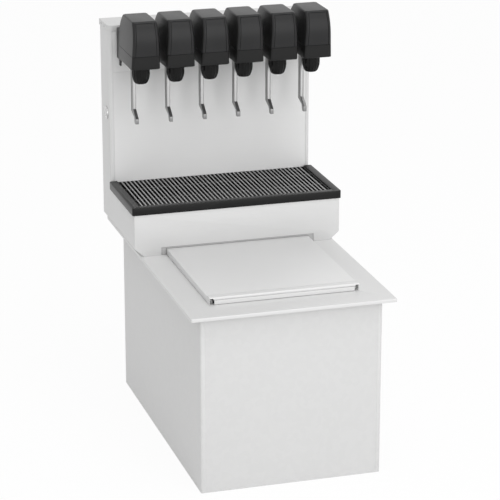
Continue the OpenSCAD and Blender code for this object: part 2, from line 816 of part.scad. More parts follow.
module drip_tray() {
    z_in = basin_z + tray_t;
    inner_x = basin_x - tray_t;
    inner_y = [basin_y0 + tray_t, basin_y1 - tray_t];
    color("dimgray") difference() {
        union() {
            rounded_plate(both(tray_x), [tray_y0, tray_y1], [tray_top - tray_t, tray_top], 6);
            difference() {
                rounded_plate(both(tray_x), [tray_y0, tray_y1], [tray_z, tray_top], 6);
                rounded_plate(both(tray_x - tray_t), [tray_y0 + tray_t, tray_y1 - tray_t],
                    [tray_z - cut, tray_top - tray_t], 6 - tray_t);
            }
            difference() {
                span(both(basin_x + rib_out), [basin_y0 - rib_out, basin_y1 + rib_out],
                    [tray_z, tray_top - tray_t / 2]);
                span(both(basin_x + rib_out - tray_t),
                    [basin_y0 - rib_out + tray_t, basin_y1 + rib_out - tray_t],
                    [tray_z - cut, tray_top - tray_t / 2]);
            }
            span(both(basin_x), [basin_y0, basin_y1], [basin_z, tray_top - tray_t / 2]);
            translate([tray_drain_x, drain_y, basin_z - tray_spigot_h])
                cylinder(r = tray_drain_r, h = tray_spigot_h + cut);
        }
        span(both(inner_x), inner_y, [z_in, ledge_z - ledge_t]);
        span(both(inner_x - ledge_w), [inner_y[0] + ledge_w, inner_y[1] - ledge_w], [z_in, tray_top]);
        span(both(inner_x), inner_y, [ledge_z, tray_top + cut]);
        translate([tray_drain_x, drain_y, basin_z - tray_spigot_h - cut])
            cylinder(r = tray_drain_r - tray_t, h = tray_spigot_h + tray_t + 2 * cut);
    }
}

module cup_rest() {
    z = [ledge_z + seat_gap, ledge_z + seat_gap + rest_t];
    first_x = -(slot_count - 1) / 2 * slot_pitch;
    color("silver") difference() {
        span(both(rest_x), [rest_y0, rest_y1], z);
        for (k = [0 : slot_count - 1]) let (x = first_x + k * slot_pitch)
            span([x - slot_w / 2, x + slot_w / 2], [rest_y0 + rest_frame, rest_y1 - rest_frame],
                [z[0] - cut, z[1] + cut]);
    }
}

module drain_cup() {
    cup_r = tray_drain_r + 5;
    color("dimgray") difference() {
        union() {
            translate([tray_drain_x, drain_y, cup_z]) cylinder(r = cup_r, h = cup_h);
            rod_y(tray_drain_x, [drain_y, drain_pipe_y], drain_pipe_z, cross_r);
            translate([tray_drain_x, drain_pipe_y, drain_pipe_z]) sphere(cross_r + 0.6);
            translate([tray_drain_x, drain_pipe_y, deck_z]) {
                cylinder(r = cross_r, h = drain_pipe_z - deck_z);
                cylinder(r = drain_pipe_r + 2, h = collar_h);
            }
            translate([tray_drain_x, drain_pipe_y, deck_z - drain_neck_h])
                cylinder(r = drain_pipe_r - 0.6, h = drain_neck_h + cut);
            translate([tray_drain_x, drain_pipe_y, deck_z - drain_neck_h - drain_pipe_h])
                cylinder(r = drain_pipe_r, h = drain_pipe_h);
        }
        translate([tray_drain_x, drain_y, cup_z + drain_wall]) cylinder(r = cup_r - drain_wall, h = cup_h);
        rod_y(tray_drain_x, [drain_y, drain_pipe_y], drain_pipe_z, cross_r - drain_wall);
        translate([tray_drain_x, drain_pipe_y, deck_z - drain_neck_h - drain_pipe_h - cut])
            cylinder(r = cross_r - drain_wall,
                h = drain_pipe_z - deck_z + drain_neck_h + drain_pipe_h + cut);
    }
}

module transformer() {
    y1 = tower_y1 - panel_t;
    z0 = tower_top - key_drop - 1.1 * transformer_h;
    x = [transformer_w, 2 * transformer_w];
    lug = transformer_w / 7;
    color("gray") {
        span(x, [y1 - transformer_d, y1], [z0, z0 + transformer_h]);
        span([x[0] - lug, x[1] + lug], [y1 - 2 * panel_t, y1], [z0 + lug, z0 + transformer_h - lug]);
    }
}

module valve_block() {
    rebate = cap_over + seam_gap;
    low = -block_drop;
    foot = -block_foot;
    cap_z = valve_drop - cap_h;
    color("dimgray") difference() {
        union() {
            side_profile(block_w) polygon([
                [valve_y1, low], [-block_foot_d, low], [-block_foot_d, foot], [0, foot],
                [0, cap_z - 2], [-rebate, cap_z - 2],
                [-rebate, low + block_h], [valve_y1, low + block_h]]);
            span([-block_w / 2, -block_w / 2 + 4], [-0.95 * block_foot_d, -0.6 * block_foot_d],
                [foot - block_foot, foot + 1]);
        }
        for (side = [-1, 1]) rod_y(side * port_gap / 2, [-socket_d, cut], port_z - valve_z,
            tube_r + run_gap);
    }
}

module valve_body() {
    color("dimgray") difference() {
        union() {
            intersection() {
                side_profile(valve_w) polygon([[valve_y0 + body_in, 0],
                    [valve_y0 + cover_rows[0][1], body_h], [valve_y1, body_h], [valve_y1, 0]]);
                upright_sheet(valve_y0, valve_d) polygon([[-valve_half(0), 0], [-valve_half(body_h), body_h],
                    [valve_half(body_h), body_h], [valve_half(0), 0]]);
                rounded_plate(both(valve_w / 2), [valve_y0 + cover_rows[0][1], valve_y1], [0, body_h],
                    cover_r);
            }
            translate([0, nozzle_y, -spigot_h]) cylinder(r = spigot_r, h = spigot_h + 1);
            for (side = [0, 1]) mirror([side, 0, 0]) lever_ear();
        }
        span(both(valve_half(body_h) - 3), [valve_y0 + body_in + body_wall, valve_y1 - 6],
            [floor_t, body_h + cut]);
        translate([0, nozzle_y, -spigot_h - cut])
            cylinder(r = diffuser_r + seat_gap, h = spigot_h - 2 + cut);
        rod_x(both(lever_w), pivot_y, pivot_z, pin_r + 0.05);
    }
    color("dimgray") {
        span(both(2 * solenoid_r + 2), [nozzle_y - 14, valve_y1 - 6], [1, manifold_h]);
        span(both(tab_x), [valve_y1 - 6, valve_y1], [1, tab_z]);
    }
}

// The right-hand ear under the valve that holds the lever's pivot pin
module lever_ear() {
    x = [lever_w / 2 + slide_gap, lever_w / 2 + slide_gap + ear_t];
    ear_r = pin_r + 4;
    rod_x(x, pivot_y, pivot_z, ear_r);
    span(x, [pivot_y - ear_r, pivot_y + ear_r], [pivot_z, 1]);
}

// One level of the cover: a thin rounded slab, drawn in by the wall where it shapes the hollow
module cover_slab(row, inset, r) {
    z = body_h + row[0] * cover_h;
    half = valve_half(z) - inset;
    y = [valve_y0 + row[1] + inset, valve_y1 - row[2] - inset];
    for (x = both(half - r)) for (cy = [y[0] + r, y[1] - r])
        translate([x, cy, z - 0.01]) cylinder(r = r, h = 0.01, $fn = hull_fn);
}

module valve_cover() {
    color("black") difference() {
        intersection() {
            hull() for (row = cover_rows) cover_slab(row, 0, cover_r);
            span(both(valve_w), [valve_y0, 0], [body_h, valve_h]);
        }
        translate([0, 0, -cover_t]) hull() for (row = cover_rows)
            cover_slab(row, cover_t, cover_r - cover_t);
        span(both(tab_x + seam_gap), [valve_y1 - 12, cut], [body_h - cut, tab_z + seam_gap]);
    }
}

module nozzle() {
    bore_r = spigot_r + run_gap;
    fall = nozzle_r - mouth_r;
    color("black") translate([0, nozzle_y, 0]) rotate_extrude() polygon([
        [nozzle_r, -slide_gap], [nozzle_r, -0.2 * nozzle_h], [nozzle_r - 0.2 * fall, -0.52 * nozzle_h],
        [mouth_r + 0.25 * fall, -0.83 * nozzle_h], [mouth_r, -0.96 * nozzle_h],
        [mouth_r - 1, -nozzle_h], [mouth_r - 3, -nozzle_h],
        [mouth_r + 0.25 * fall - nozzle_t, -0.83 * nozzle_h],
        [nozzle_r - 0.2 * fall - nozzle_t, -0.52 * nozzle_h],
        [bore_r, -0.37 * nozzle_h], [bore_r, -slide_gap]]);
}

module diffusers() {
    color("ivory") for (i = [1 : valve_count]) at_valve(i) translate([0, nozzle_y, 0]) {
        translate([0, 0, -0.92 * nozzle_h]) cylinder(r = diffuser_r, h = 0.82 * nozzle_h);
        for (step = [1 : 3]) translate([0, 0, -spigot_h * (1 + step / 2)])
            cylinder(r = disc_r + 1 - step, h = spigot_h / 6);
    }
}

module solenoids() {
    color("goldenrod") for (i = [1 : valve_count]) at_valve(i) for (side = [-1, 1])
        translate([side * (solenoid_r + 2), nozzle_y + solenoid_back, manifold_h])
            cylinder(r = solenoid_r, h = solenoid_h);
}

module lever_pins() {
    color("silver") for (i = [1 : valve_count]) at_valve(i)
        rod_x(both(lever_w / 2 + slide_gap + ear_t + 0.5), pivot_y, pivot_z, pin_r);
}

module lever() {
    front = -9;
    top = 5;
    tip = 14;
    bend = 22;
    fall = lever_h - tip - bend;
    foot = front - lever_kick;
    face = [[front, top], [front, -fall], [foot, -fall - bend], [foot, -lever_h]];
    back = [[foot + 13, -lever_h], [foot + 18, -fall - bend + 2], [front + lever_d, -fall - 8],
        [front + lever_d, -10], [front + lever_d - 7, top]];
    web = [for (k = [3 : -1 : 0]) face[k] + [lever_t, 0]];
    color("silver") translate([0, pivot_y, pivot_z]) difference() {
        union() {
            for (x = both(lever_w / 2 - lever_t / 2))
                translate([x, 0, 0]) side_profile(lever_t) polygon(concat(face, back));
            side_profile(lever_w) polygon(concat(face, web));
        }
        rod_x(both(lever_w), 0, 0, pin_r + run_gap);
    }
}

cabinet_shell();
cabinet_foam();
bin_liner();
cold_plate();
bin_drain();
inlet_stubs();
syrup_tubes();
soda_manifold();
deck();
deck_gasket();
lid_runners();
lid();
lid_grip();
side_panel_left();
side_panel_right();
console_front();
back_panel();
splash_panel();
valve_panel();
tower_cap();
cap_screws();
key_bezel();
key_barrel();
drip_tray();
cup_rest();
drain_cup();
transformer();
lever_pins();
diffusers();
solenoids();
for (i = [1 : valve_count]) {
    at_valve(i) valve_block();
    at_valve(i) valve_body();
    at_valve(i) valve_cover();
    at_valve(i) nozzle();
    at_valve(i) lever();
}
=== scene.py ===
import math

import bmesh
import bpy
from mathutils import Matrix, Vector


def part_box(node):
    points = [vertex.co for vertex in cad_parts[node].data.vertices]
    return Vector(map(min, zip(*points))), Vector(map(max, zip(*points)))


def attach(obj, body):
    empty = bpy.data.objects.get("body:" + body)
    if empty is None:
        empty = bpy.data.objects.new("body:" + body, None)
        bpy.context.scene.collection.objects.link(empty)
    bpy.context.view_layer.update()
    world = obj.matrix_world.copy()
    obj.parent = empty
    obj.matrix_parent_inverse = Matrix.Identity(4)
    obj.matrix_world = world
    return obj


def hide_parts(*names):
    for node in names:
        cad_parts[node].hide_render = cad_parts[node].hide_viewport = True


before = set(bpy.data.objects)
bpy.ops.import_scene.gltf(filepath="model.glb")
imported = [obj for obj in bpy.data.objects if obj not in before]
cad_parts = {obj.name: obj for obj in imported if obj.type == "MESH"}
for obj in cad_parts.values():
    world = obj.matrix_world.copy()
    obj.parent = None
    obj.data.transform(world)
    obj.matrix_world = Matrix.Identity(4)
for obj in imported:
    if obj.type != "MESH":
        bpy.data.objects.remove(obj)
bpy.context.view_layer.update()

# Cabinet shell. One galvanised sheet is folded into a box that hangs under the counter. Its
# corners are bent round, and the front sheet laps the sides, which leaves a fine seam at each.


def finished(bm, name, smooth=38):
    """Makes a piece of a finished bmesh, smooth except at its creases."""
    mesh = bpy.data.meshes.new(name)
    bm.to_mesh(mesh)
    bm.free()
    mesh.polygons.foreach_set("use_smooth", [True] * len(mesh.polygons))
    mesh.set_sharp_from_angle(angle=math.radians(smooth))
    piece = bpy.data.objects.new(name, mesh)
    bpy.context.scene.collection.objects.link(piece)
    return piece


def merged(node):
    """The CAD node's shape as a bmesh of whole faces."""
    bm = bmesh.new()
    bm.from_mesh(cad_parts[node].data)
    weld, flat = 4e-6, math.radians(0.3)
    bmesh.ops.remove_doubles(bm, verts=bm.verts[:], dist=weld)
    bmesh.ops.dissolve_limit(bm, angle_limit=flat, verts=bm.verts[:], edges=bm.edges[:])
    return bm


def rounded(bm, edges, radius, segments):
    bmesh.ops.bevel(bm, geom=edges, offset=radius, offset_type="OFFSET", segments=segments,
                    profile=0.5, affect="EDGES", clamp_overlap=True)


def eased(bm, radius, segments, *rules, degrees=60):
    """Rounds the creases that are sharper than an angle and that every rule wants."""
    sharp = [e for e in bm.edges if len(e.link_faces) == 2
             and e.calc_face_angle(0) > math.radians(degrees) and all(rule(e) for rule in rules)]
    rounded(bm, sharp, radius, segments)


near = 1e-4


def runs_along(axis):
    """A rule that wants the edges that run along one axis."""
    others = [k for k in range(3) if k != axis]
    return lambda e: all(abs(e.verts[0].co[k] - e.verts[1].co[k]) < near for k in others)


def longer(length):
    """A rule that wants the edges over a length."""
    return lambda e: e.calc_length() > length


def fitted(piece, material, slot, body, *nodes):
    """Gives a piece its finish, its CAD body and the nodes that it stands for."""
    piece.data.materials.clear()
    piece.data.materials.append(material)
    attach(piece, body)
    if nodes:
        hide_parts(*nodes)
    return piece


def new_material(name, rough, metal=0.0, specular=0.5):
    material = bpy.data.materials.new(name)
    material.use_nodes = True
    shader = material.node_tree.nodes["Principled BSDF"]
    shader.inputs["Roughness"].default_value = rough
    shader.inputs["Metallic"].default_value = metal
    shader.inputs["Specular IOR Level"].default_value = specular
    return material, material.node_tree, shader


def speckle(tree, stretch, detail=2.0, seed=0.0):
    """Noise on the piece's own coordinates, with so many spots to the metre on each axis."""
    place = tree.nodes.new("ShaderNodeTexCoord")
    scaled = tree.nodes.new("ShaderNodeMapping")
    scaled.inputs["Scale"].default_value = stretch
    scaled.inputs["Location"].default_value = (seed, seed, seed)
    noise = tree.nodes.new("ShaderNodeTexNoise")
    noise.inputs["Scale"].default_value = 1.0
    noise.inputs["Detail"].default_value = detail
    tree.links.new(place.outputs["Object"], scaled.inputs["Vector"])
    tree.links.new(scaled.outputs["Vector"], noise.inputs["Vector"])
    return noise.outputs["Fac"]


def between(tree, value, low, high, start=0.3, end=0.7):
    """A value drawn out to lie between two limits."""
    ranged = tree.nodes.new("ShaderNodeMapRange")
    for name, number in (("From Min", start), ("From Max", end), ("To Min", low), ("To Max", high)):
        ranged.inputs[name].default_value = number
    tree.links.new(value, ranged.inputs["Value"])
    return ranged.outputs["Result"]


def two_tones(tree, value, dark, light):
    """A colour between two tones."""
    mix = tree.nodes.new("ShaderNodeMix")
    mix.data_type = "RGBA"
    mix.inputs[6].default_value = (*dark, 1.0)
    mix.inputs[7].default_value = (*light, 1.0)
    tree.links.new(between(tree, value, 0.0, 1.0), mix.inputs[0])
    return mix.outputs[2]


def relief(tree, shader, value, depth):
    """Raises the surface by a value, so many metres high."""
    bump = tree.nodes.new("ShaderNodeBump")
    bump.inputs["Strength"].default_value = 1.0
    bump.inputs["Distance"].default_value = depth
    tree.links.new(value, bump.inputs["Height"])
    tree.links.new(bump.outputs["Normal"], shader.inputs["Normal"])


def galvanised_sheet():
    material, tree, shader = new_material("galvanised_sheet", 0.5, metal=0.2, specular=0.25)
    spangle = tree.nodes.new("ShaderNodeTexVoronoi")
    spangle.inputs["Scale"].default_value = 70.0
    place = tree.nodes.new("ShaderNodeTexCoord")
    tree.links.new(place.outputs["Object"], spangle.inputs["Vector"])
    flakes = between(tree, spangle.outputs["Color"], 0.0, 1.0, 0.0, 1.0)
    tree.links.new(two_tones(tree, flakes, (0.655, 0.655, 0.653), (0.667, 0.667, 0.665)),
                   shader.inputs["Base Color"])
    tree.links.new(between(tree, flakes, 0.47, 0.53, 0.0, 1.0), shader.inputs["Roughness"])
    relief(tree, shader, speckle(tree, (160, 160, 160), 3.0), 0.00003)
    return material


low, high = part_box("cabinet_shell")
bend_r, foot_r = 0.0025, 0.0015
corner_edge = 0.3
foot_z = 0.001
bm = merged("cabinet_shell")
eased(bm, bend_r, 4, runs_along(2), longer(corner_edge),
      lambda e: min(abs(e.verts[0].co.x - x) for x in (low.x, high.x)) < near)
eased(bm, foot_r, 3, lambda e: max(v.co.z for v in e.verts) < foot_z)
shell = finished(bm, "cabinet_sheet")
fitted(shell, galvanised_sheet(), "galvanised_sheet", "cabinet", "cabinet_shell")

# The lap of the front sheet: a strip at each front corner, a fraction of a millimetre proud.
# It ends short of the foot and further short of the deck.
lap_w, lap_t, lap_edge = 0.009, 0.0009, 0.0002
lap_y = low.y + 0.0001
lap_short, lap_drop = 0.012, 0.004
bm = bmesh.new()
for side in (-1, 1):
    strip = bmesh.ops.create_cube(bm, size=1.0)["verts"]
    bmesh.ops.scale(bm, verts=strip, vec=(lap_w, lap_t, high.z - low.z - lap_short))
    bmesh.ops.translate(bm, verts=strip, vec=(side * (high.x - bend_r - lap_w / 2), lap_y,
                                              (low.z + high.z) / 2 - lap_drop))
rounded(bm, bm.edges[:], lap_edge, 2)
laps = finished(bm, "cabinet_laps")
fitted(laps, shell.data.materials[0], "galvanised_sheet", "cabinet")

# Insulation. Urethane foam fills the space between the shell and the bin. It is cast in place,
# tan and finely pored, and only its top edge can be seen while the deck is off.


def cast_foam():
    material, tree, shader = new_material("cast_foam", 0.9)
    pores = speckle(tree, (500, 500, 500), 4.0)
    tree.links.new(two_tones(tree, pores, (0.62, 0.50, 0.27), (0.78, 0.66, 0.40)),
                   shader.inputs["Base Color"])
    relief(tree, shader, pores, 0.0006)
    return material


def dressed(node, material):
    """A CAD node whose shape is right as it stands takes a better finish."""
    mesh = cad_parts[node].data
    mesh.materials.clear()
    mesh.materials.append(material)


dressed("cabinet_foam", cast_foam())

# Bin liner. A white polyethylene tub, moulded with rounded inner corners and a slightly waxy
# surface. It shows when the lid is open.


def uneven(tree, shader, value, rough):
    """Lets the roughness drift a little to both sides of its mean."""
    spread = 0.05
    tree.links.new(between(tree, value, rough - spread, rough + spread),
                   shader.inputs["Roughness"])


def moulded(name, dark, light, rough, spots, depth, specular=0.5):
    """Moulded plastic with a fine even texture and a slight drift in tone."""
    material, tree, shader = new_material(name, rough, specular=specular)
    texture = speckle(tree, (spots, spots, spots), 2.0)
    drift = speckle(tree, (9, 9, 9), 3.0, seed=4.0)
    tree.links.new(two_tones(tree, drift, dark, light), shader.inputs["Base Color"])
    uneven(tree, shader, texture, rough)
    relief(tree, shader, texture, depth)
    return material


def above(z):
    """A rule that wants the edges that lie wholly above a height."""
    return lambda e: min(v.co.z for v in e.verts) > z


white_plastic = moulded("white_polyethylene", (0.78, 0.79, 0.78), (0.83, 0.84, 0.83),
                        0.42, 700, 0.00004)
low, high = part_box("bin_liner")
tub_corner, tub_rim = 0.014, 0.0008
inner_x = high.x - 0.001
bm = merged("bin_liner")
eased(bm, tub_corner, 6, runs_along(2), longer(corner_edge),
      lambda e: abs(e.verts[0].co.x) < inner_x)
eased(bm, tub_rim, 2, above(high.z - near))
fitted(finished(bm, "bin_tub"), white_plastic, "liner_plastic", "cabinet", "bin_liner")

# Cold plate. Aluminium cast round the cooling coils, flat on top and as rough as its sand mould,
# with soft edges. The ice lies on it.


def cast_aluminium():
    material, tree, shader = new_material("cast_aluminium", 0.55, metal=0.9)
    sand = speckle(tree, (420, 420, 420), 4.0)
    stains = speckle(tree, (14, 14, 14), 4.0, 2.0)
    tree.links.new(two_tones(tree, stains, (0.46, 0.47, 0.48), (0.58, 0.59, 0.60)),
                   shader.inputs["Base Color"])
    tree.links.new(between(tree, sand, 0.48, 0.66), shader.inputs["Roughness"])
    relief(tree, shader, sand, 0.0005)
    return material


casting_edge = 0.004
bm = merged("cold_plate")
eased(bm, casting_edge, 4)
fitted(finished(bm, "cold_casting"), cast_aluminium(), "cast_aluminium", "cabinet", "cold_plate")

# Drain spigot and inlet stubs. The bin's drain is a grey PVC spigot. The syrup and water stubs are
# stainless tube, and each has barbs rolled near its end to hold a hose.

grey_plastic = moulded("grey_pvc", (0.20, 0.20, 0.21), (0.24, 0.24, 0.25), 0.4, 900, 0.00003)
dressed("bin_drain", grey_plastic)


def drawn_steel(name, tone, rough, axis, metal=0.9):
    """Stainless steel whose fine lines run along one axis, with faint smears over them."""
    material, tree, shader = new_material(name, rough, metal=metal, specular=0.25)
    lines_across, lines_along, drift = 1700.0, 7.0, 0.018
    stretch = [lines_across] * 3
    stretch[axis] = lines_along
    lines = speckle(tree, stretch, 2.0)
    smears = speckle(tree, (5, 5, 5), 3.0, seed=7.0)
    light = tuple(min(1.0, c * (1 + drift)) for c in tone)
    dark = tuple(c * (1 - drift) for c in tone)
    both = tree.nodes.new("ShaderNodeMath")
    both.operation = "MULTIPLY_ADD"
    both.inputs[1].default_value = 0.5
    half = tree.nodes.new("ShaderNodeMath")
    half.operation = "MULTIPLY"
    half.inputs[1].default_value = 0.5
    tree.links.new(smears, half.inputs[0])
    tree.links.new(lines, both.inputs[0])
    tree.links.new(half.outputs[0], both.inputs[2])
    tree.links.new(two_tones(tree, both.outputs[0], dark, light), shader.inputs["Base Color"])
    uneven(tree, shader, both.outputs[0], rough)
    relief(tree, shader, lines, 0.000012)
    return material


tube_steel = drawn_steel("drawn_tube", (0.60, 0.61, 0.62), 0.28, 1)
for node in ("inlet_stubs", "syrup_tubes", "soda_manifold"):
    dressed(node, tube_steel)


def laid_out_tree():
    """A tree that lays out copies of a piece, each a step and a turn on from the last."""
    tree = bpy.data.node_groups.new("laid_out", "GeometryNodeTree")
    sockets = tree.interface
    sockets.new_socket("Geometry", in_out="OUTPUT", socket_type="NodeSocketGeometry")
    sockets.new_socket("Piece", in_out="INPUT", socket_type="NodeSocketGeometry")
    for name, kind in (("Count", "Int"), ("Start", "Vector"), ("Step", "Vector"),
                       ("Turn", "Vector"), ("Finish", "Material")):
        sockets.new_socket(name, in_out="INPUT", socket_type="NodeSocket" + kind)
    given = tree.nodes.new("NodeGroupInput")
    made = tree.nodes.new("NodeGroupOutput")
    number = tree.nodes.new("GeometryNodeInputIndex")
    points = tree.nodes.new("GeometryNodePoints")
    copies = tree.nodes.new("GeometryNodeInstanceOnPoints")
    real = tree.nodes.new("GeometryNodeRealizeInstances")
    finish = tree.nodes.new("GeometryNodeSetMaterial")
    ways = {}
    for name in ("Step", "Turn"):
        ways[name] = tree.nodes.new("ShaderNodeVectorMath")
        ways[name].operation = "SCALE"
        tree.links.new(given.outputs[name], ways[name].inputs[0])
        tree.links.new(number.outputs[0], ways[name].inputs["Scale"])
    moved = tree.nodes.new("ShaderNodeVectorMath")
    moved.operation = "ADD"
    tree.links.new(ways["Step"].outputs[0], moved.inputs[0])
    tree.links.new(given.outputs["Start"], moved.inputs[1])
    tree.links.new(given.outputs["Count"], points.inputs["Count"])
    tree.links.new(moved.outputs[0], points.inputs["Position"])
    tree.links.new(points.outputs[0], copies.inputs["Points"])
    tree.links.new(given.outputs["Piece"], copies.inputs["Instance"])
    tree.links.new(ways["Turn"].outputs[0], copies.inputs["Rotation"])
    tree.links.new(copies.outputs[0], real.inputs[0])
    tree.links.new(real.outputs[0], finish.inputs["Geometry"])
    tree.links.new(given.outputs["Finish"], finish.inputs["Material"])
    tree.links.new(finish.outputs[0], made.inputs[0])
    return tree


laid_out = laid_out_tree()


def repeated(piece, count, material, start=(0, 0, 0), step=(0, 0, 0), turn=(0, 0, 0)):
    """Turns a piece into a row or a ring of like pieces, as one plain mesh."""
    modifier = piece.modifiers.new("laid out", "NODES")
    modifier.node_group = laid_out
    given = {"Count": count, "Start": start, "Step": step, "Turn": turn, "Finish": material}
    for socket in laid_out.interface.items_tree:
        if socket.in_out == "INPUT" and socket.name in given:
            modifier[socket.identifier] = given[socket.name]
    bpy.context.view_layer.update()
    whole = piece.evaluated_get(bpy.context.evaluated_depsgraph_get())
    mesh = bpy.data.meshes.new_from_object(whole)
    piece.modifiers.clear()
    piece.data = mesh
    return piece


def turned(profile, segments, closed=True):
    """A turned shape about Z: the profile's points are (radius, height)."""
    bm = bmesh.new()
    rings = []
    for radius, height in profile:
        rings.append([bm.verts.new((radius * math.cos(a), radius * math.sin(a), height))
                      for a in (math.tau * k / segments for k in range(segments))])
    for k in range(len(rings) if closed else len(rings) - 1):
        a, b = rings[k], rings[(k + 1) % len(rings)]
        for j in range(segments):
            i = (j + 1) % segments
            bm.faces.new((a[j], a[i], b[i], b[j]))
    if not closed:
        bm.faces.new(rings[0][::-1])
        bm.faces.new(rings[-1])
    bmesh.ops.recalc_face_normals(bm, faces=bm.faces[:])
    return bm


def spun(bm, angle, axis):
    """Turns a whole bmesh about an axis through the origin."""
    bmesh.ops.rotate(bm, verts=bm.verts[:], cent=(0, 0, 0), matrix=Matrix.Rotation(angle, 3, axis))


low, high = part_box("inlet_stubs")
stub_count = 7
stub_r, collar_r = 0.00476, 0.00526
barb_l, barb_step, barbs_l = 0.0034, 0.0042, 0.0135
sunk_r, barb_r = stub_r - 0.0002, stub_r + 0.0004
bm = turned([(sunk_r, 0.0), (barb_r, 0.0004), (barb_r, 0.0010), (sunk_r, barb_l)], 28)
spun(bm, -math.pi / 2, "X")
first_barb = bm.faces[:]
for k in (1, 2):
    more = bmesh.ops.duplicate(bm, geom=first_barb)["geom"]
    bmesh.ops.translate(bm, verts=[v for v in more if isinstance(v, bmesh.types.BMVert)],
                        vec=(0, barb_step * k, 0))
barbs = finished(bm, "stub_barbs")
repeated(barbs, stub_count, tube_steel,
         start=(low.x + collar_r, high.y - barbs_l, (low.z + high.z) / 2),
         step=((high.x - low.x - 2 * collar_r) / (stub_count - 1), 0, 0))
fitted(barbs, tube_steel, "stainless_tube", "cabinet")

# Deck. One brushed stainless sheet with a small turned-down hem all round, which the counter's
# edge carries. Its opening has a raised lip at each side.


def level(z):
    """A rule that wants the edges that lie at one height."""
    return lambda e: all(abs(v.co.z - z) < 1e-5 for v in e.verts)


panel_tone, panel_rough, panel_metal = (0.70, 0.70, 0.698), 0.5, 0.12
deck_steel = drawn_steel("brushed_deck", panel_tone, panel_rough, 0, panel_metal)
low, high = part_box("deck")
fold_r, sheet_edge = 0.0022, 0.0004
deck_t, hem_w = 0.0015, 0.01
bm = merged("deck")
deck_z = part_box("cabinet_shell")[1].z + deck_t
eased(bm, fold_r, 4, level(deck_z), lambda e: abs(e.verts[0].co.x) > high.x - hem_w
      or abs(e.verts[0].co.y) > high.y - hem_w, degrees=30)
eased(bm, sheet_edge, 2)
fitted(finished(bm, "deck_sheet"), deck_steel, "brushed_stainless", "cabinet", "deck")

# Gasket and runners. A black sponge rubber strip seals the deck against the counter. The lid
# slides on two white plastic strips beside the opening.

strip_edge = 0.0009
rubber = moulded("sponge_rubber", (0.018, 0.018, 0.018), (0.03, 0.03, 0.03), 0.85, 900, 0.0002)
bm = merged("deck_gasket")
eased(bm, strip_edge, 2)
fitted(finished(bm, "sponge_strip"), rubber, "gasket_rubber", "cabinet", "deck_gasket")

bm = merged("lid_runners")
eased(bm, strip_edge, 3)
fitted(finished(bm, "runner_strips"), white_plastic, "liner_plastic", "cabinet", "lid_runners")

# Lid. A brushed stainless sheet folded down at both sides. Its grip is a hollow strip, rolled
# at the top, with a finger groove along its front, and its open ends pass over the runners.

# The lid's steel is painted a little lighter than the deck's, to offset the shade the tower casts
# on it.
lid_steel = drawn_steel("brushed_lid", (0.73, 0.73, 0.728), panel_rough, 0, panel_metal)
bm = merged("lid")
low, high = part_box("lid")
eased(bm, fold_r, 4, runs_along(1), above(high.z - near))
eased(bm, sheet_edge, 2)
fitted(finished(bm, "lid_sheet"), lid_steel, "brushed_stainless", "lid", "lid")

lid_top = high.z
low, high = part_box("lid_grip")


def pulled(outline, x0, x1):
    """A bar with one outline in Y and Z, pulled from one X to another and closed at both ends."""
    bm = bmesh.new()
    ends = [[bm.verts.new((x, y, z)) for y, z in outline] for x in (x0, x1)]
    n = len(outline)
    for j in range(n):
        i = (j + 1) % n
        bm.faces.new((ends[0][j], ends[0][i], ends[1][i], ends[1][j]))
    bm.faces.new(ends[0][::-1])
    bm.faces.new(ends[1])
    bmesh.ops.recalc_face_normals(bm, faces=bm.faces[:])
    return bm


def arc(y, z, radius, first, last, steps):
    """Points on an arc in the Y and Z plane, with its angles in degrees."""
    angles = [math.radians(first + (last - first) * k / steps) for k in range(steps + 1)]
    return [(y + radius * math.cos(a), z + radius * math.sin(a)) for a in angles]


def oblong(y0, y1, z0, z1):
    return [(y0, z0), (y1, z0), (y1, z1), (y0, z1)]


def join(bm, other):
    """Adds another bmesh to one."""
    mesh = bpy.data.meshes.new("joined")
    other.to_mesh(mesh)
    other.free()
    bm.from_mesh(mesh)
    bpy.data.meshes.remove(mesh)


# The grip's profile, from the lid up over the ridge, down the nose and into the groove.
y0, y1, top, foot = low.y, high.y, high.z, low.z
wall_x, roll_x = 0.189, 0.1915
back_r, ridge_r, nose_r, roll_r, groove_r, hem_r = 0.0012, 0.0010, 0.0028, 0.0012, 0.0008, 0.0006
slope_w, roll_d, finger_w = 0.006, 0.0066, 0.0012
plate_z = lid_top + 0.0001
roll_z = top - roll_d
groove_z = roll_z - finger_w
inner_y = y0 + 0.0038
plate = ([(y1, plate_z)] + arc(y1 - back_r, lid_top + back_r, back_r, 0, 70, 4)
         + arc(y1 - slope_w, top - ridge_r, ridge_r, 60, 90, 3)
         + arc(y0 + nose_r, top - nose_r, nose_r, 90, 180, 8) + [(y0 + 0.0003, plate_z)])
bm = pulled(plate, low.x, high.x)
under_plate = lid_top + 0.0010
front_roll = ([(y0 + 0.0004, under_plate), (y0, lid_top + 0.0003)]
              + arc(y0 + roll_r, roll_z + roll_r, roll_r, 180, 270, 5)
              + [(inner_y, roll_z), (inner_y, under_plate)])
join(bm, pulled(front_roll, -roll_x, roll_x))
hem_y, step_z = y0 + 0.0017, foot + 0.007
wall = (arc(y0 + 0.0008, foot + hem_r, hem_r, 180, 270, 3)
        + [(hem_y, foot), (hem_y, step_z), (inner_y, step_z), (inner_y, groove_z)]
        + arc(y0 + 0.0010, groove_z - groove_r, groove_r, 90, 180, 4))
join(bm, pulled(wall, -wall_x, wall_x))
web_lap = 0.0004
web = oblong(y0 + 0.0030, y0 + 0.0037, groove_z - web_lap, roll_z + web_lap)
join(bm, pulled(web, -wall_x, wall_x))
fitted(finished(bm, "grip_strip"), lid_steel, "brushed_stainless", "lid", "lid_grip")
